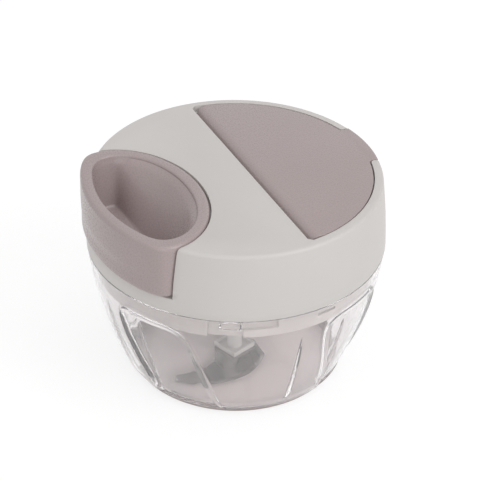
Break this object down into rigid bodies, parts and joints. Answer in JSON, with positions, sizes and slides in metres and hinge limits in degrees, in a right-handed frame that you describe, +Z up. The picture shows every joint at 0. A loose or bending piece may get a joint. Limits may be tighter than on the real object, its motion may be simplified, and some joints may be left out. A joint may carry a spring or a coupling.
{
  "type": "pull-string food chopper",
  "caption": "Round hand food chopper: clear bowl with blades, twist-lock lid, and a pull handle whose cord spins the blades; a hinged half-moon flap covers a fill port.",
  "frame": {"origin": "on the table under the centre of the bowl", "axes": "+Z up along the blade axis, -Y towards the pull handle, +Y towards the fill flap"},
  "size_m": [0.13, 0.1317, 0.0951],
  "materials": {
    "clear_plastic": "clear gloss",
    "taupe_rubber": "satin",
    "taupe_plastic": "satin gloss",
    "grey_plastic": "satin gloss",
    "grey_silicone": "matte",
    "hub_plastic": "satin",
    "white_plastic": "satin",
    "blade_steel": "brushed",
    "spring_steel": "oiled",
    "polished_steel": "turned",
    "cord": "braided"
  },
  "bodies": {
    "bowl": {"bowl": "clear_plastic", "base_ring": "taupe_rubber", "spindle_pin": "polished_steel"},
    "blades": {"blade_hub": "hub_plastic", "lower_blade": "blade_steel", "upper_blade": "blade_steel"},
    "gasket": {"lid_gasket": "grey_silicone"},
    "lid": {"lid_shell": "grey_plastic", "lid_base": "grey_plastic", "lid_screws": "polished_steel", "shaft_bush": "white_plastic", "spring_arbor": "polished_steel", "cord_eyelet": "white_plastic", "flap_hinge_pin": "polished_steel", "cord_lead": "cord"},
    "flap": {"fill_flap": "taupe_plastic"},
    "spool": {"cord_spool": "white_plastic", "cord_winding": "cord", "power_spring": "spring_steel", "spring_cover": "white_plastic", "pawl_ring": "white_plastic"},
    "drive": {"drive_shaft": "polished_steel", "ratchet_cup": "white_plastic", "shaft_clip": "spring_steel"},
    "handle": {"pull_handle": "taupe_plastic", "pull_cord": "cord", "cord_knot": "cord"}
  },
  "joints": [
    {"name": "lid_lift", "type": "slide", "parent": "bowl", "child": "gasket", "axis": [0, 0, 1], "range_m": [0, 0.09]},
    {"name": "lid_twist", "type": "hinge", "parent": "gasket", "child": "lid", "pos_m": [0, 0, 0.06], "axis": [0, 0, 1], "range_deg": [-14, 0]},
    {"name": "flap_hinge", "type": "hinge", "parent": "lid", "child": "flap", "pos_m": [0, 0.0109, 0.0897], "axis": [1, 0, 0], "range_deg": [0, 95]},
    {"name": "handle_pull", "type": "slide", "parent": "lid", "child": "handle", "axis": [0, -1, 0], "range_m": [0, 0.25], "stiffness_N_per_m": 20, "springref_m": -0.1, "deforming": ["pull_cord"]},
    {"name": "spool_turn", "type": "hinge", "parent": "lid", "child": "spool", "pos_m": [0, 0, 0.076], "axis": [0, 0, 1], "range_deg": [-1, 759], "deforming": ["power_spring"]},
    {"name": "drive_turn", "type": "hinge", "parent": "lid", "child": "drive", "pos_m": [0, 0, 0.063], "axis": [0, 0, 1], "range_deg": [-1, 759]},
    {"name": "blade_turn", "type": "hinge", "parent": "bowl", "child": "blades", "pos_m": [0, 0, 0.02], "axis": [0, 0, 1], "range_deg": [-1, 759]}
  ],
  "couplings": [
    {"joint": "spool_turn", "follows": "handle_pull", "rad_per_m": 52.91},
    {"joint": "drive_turn", "follows": "handle_pull", "rad_per_m": 52.91},
    {"joint": "blade_turn", "follows": "handle_pull", "rad_per_m": 52.91}
  ]
}
